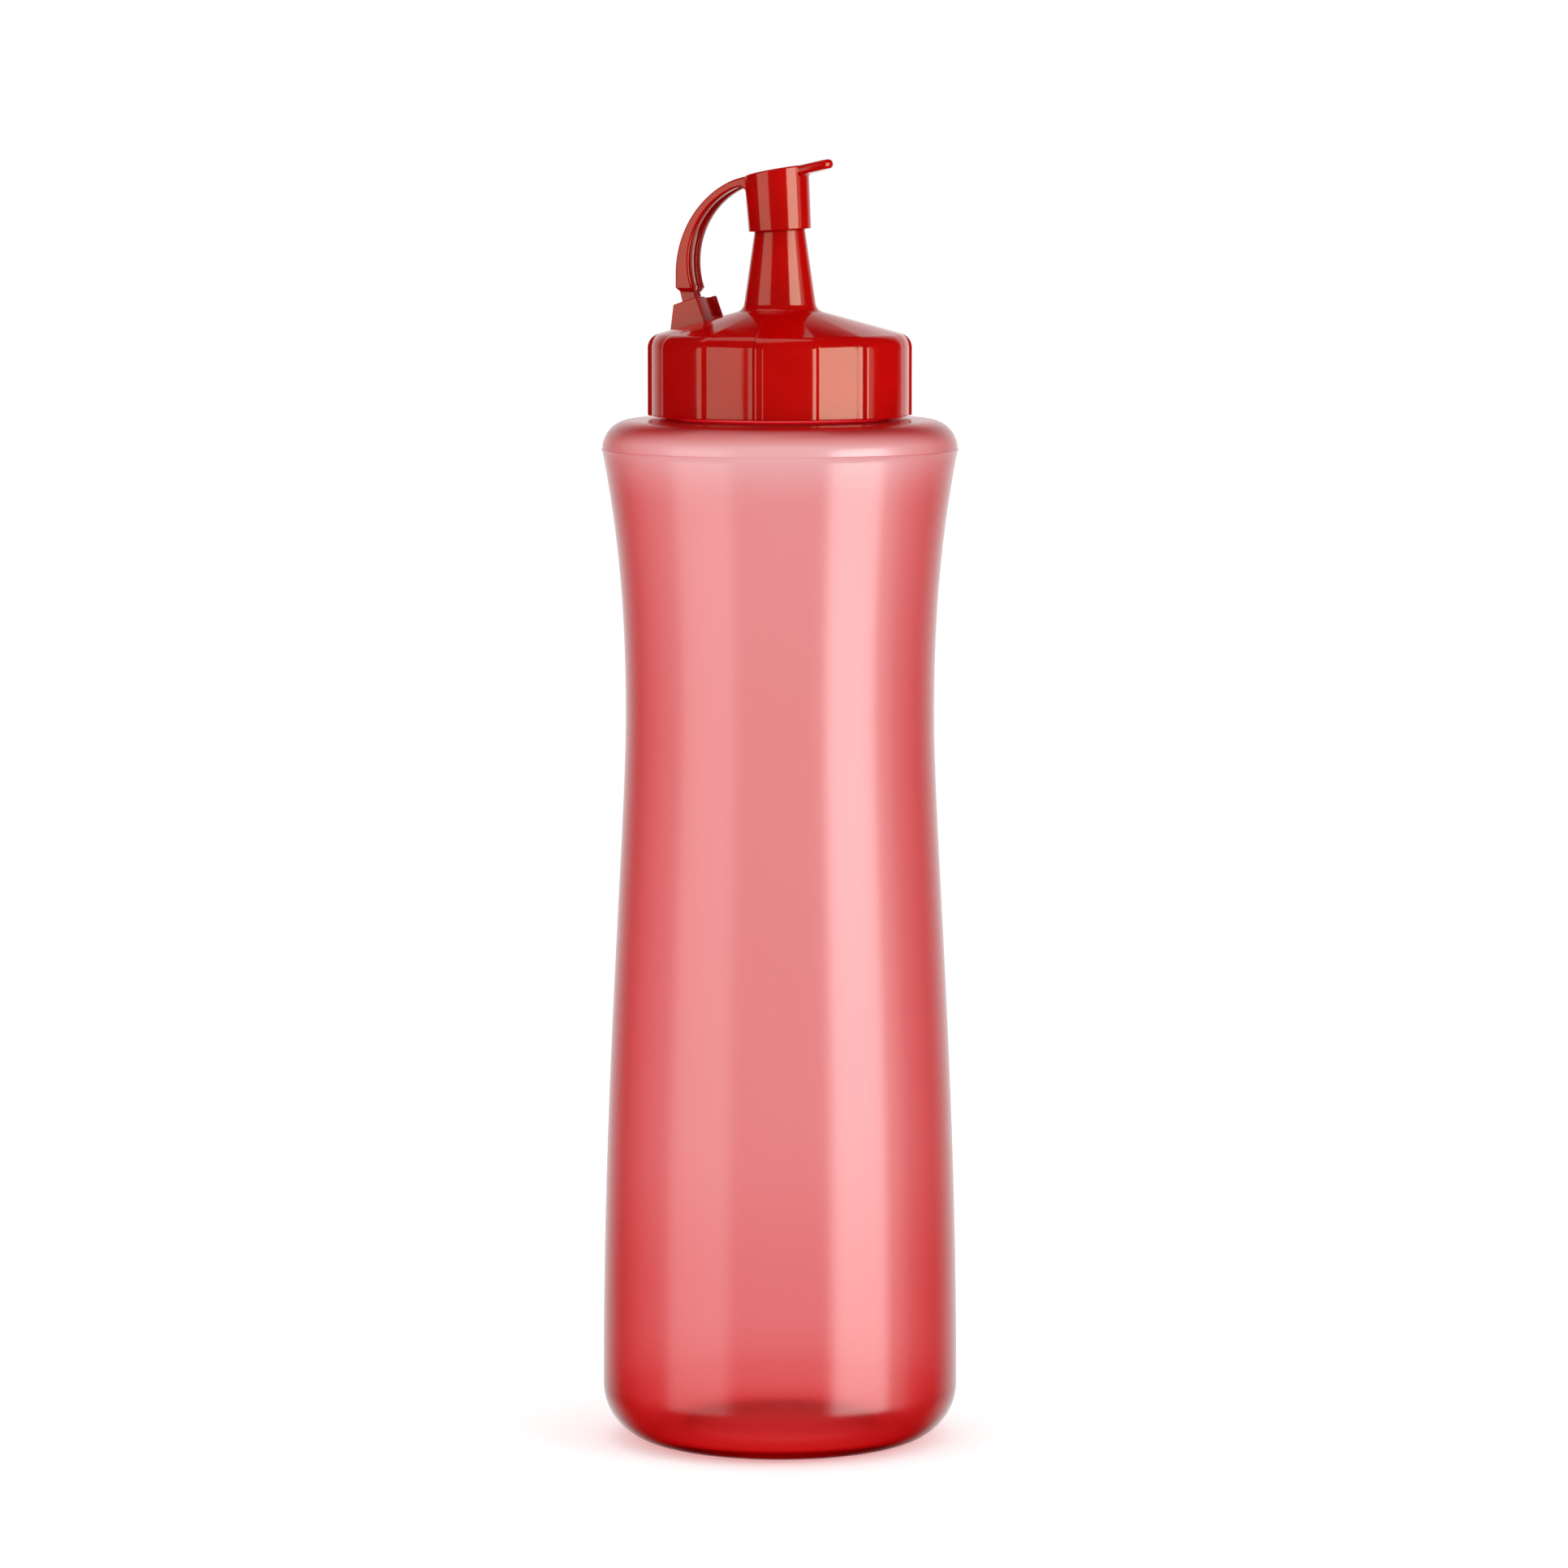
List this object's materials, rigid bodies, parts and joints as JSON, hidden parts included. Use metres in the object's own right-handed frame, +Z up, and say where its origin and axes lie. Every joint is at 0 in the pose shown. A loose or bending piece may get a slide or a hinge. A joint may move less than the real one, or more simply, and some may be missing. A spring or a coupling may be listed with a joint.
{
  "type": "dispensing sauce bottle",
  "caption": "Soft waisted squeeze bottle for sauce, with a screw closure, a tapered pouring spout and a tethered flip cover for the spout's tip.",
  "frame": {"origin": "centre of the base, on the plane that the bottle stands on", "axes": "+Z up along the bottle's axis; the strap that carries the tip cover lies towards -X and the cover's thumb tab points to +X"},
  "size_m": [0.0806, 0.0806, 0.2908],
  "materials": {
    "bottle_wall": "frosted translucent red, blow-moulded low-density polyethylene",
    "closure_red": "glossy opaque red, injection-moulded polypropylene",
    "cover_red": "glossy opaque red, injection-moulded soft polypropylene",
    "seal_foam": "off-white expanded polyethylene"
  },
  "bodies": {
    "bottle_body": {"bottle": "bottle_wall"},
    "seal_body": {"seal_ring": "seal_foam"},
    "closure_body": {"closure": "closure_red", "strap_root": "cover_red"},
    "strap_body": {"strap": "cover_red"},
    "cover_body": {"tip_cover": "cover_red"}
  },
  "joints": [
    {"name": "closure_lift", "type": "slide", "parent": "bottle_body", "child": "seal_body", "axis": [0, 0, 1], "range_m": [0, 0.015]},
    {"name": "closure_turn", "type": "hinge", "parent": "seal_body", "child": "closure_body", "pos_m": [0, 0, 0.2409], "axis": [0, 0, 1], "range_deg": [0, 1080]},
    {"name": "strap_swing", "type": "hinge", "parent": "closure_body", "child": "strap_body", "pos_m": [-0.0246, 0, 0.2596], "axis": [0, -1, 0], "range_deg": [0, 72]},
    {"name": "cover_swing", "type": "hinge", "parent": "strap_body", "child": "cover_body", "pos_m": [-0.0082, 0, 0.287], "axis": [0, -1, 0], "range_deg": [0, 108]}
  ],
  "couplings": [
    {"joint": "closure_lift", "follows": "closure_turn", "m_per_rad": 0.00079577},
    {"joint": "cover_swing", "follows": "strap_swing", "ratio": 1.5}
  ]
}
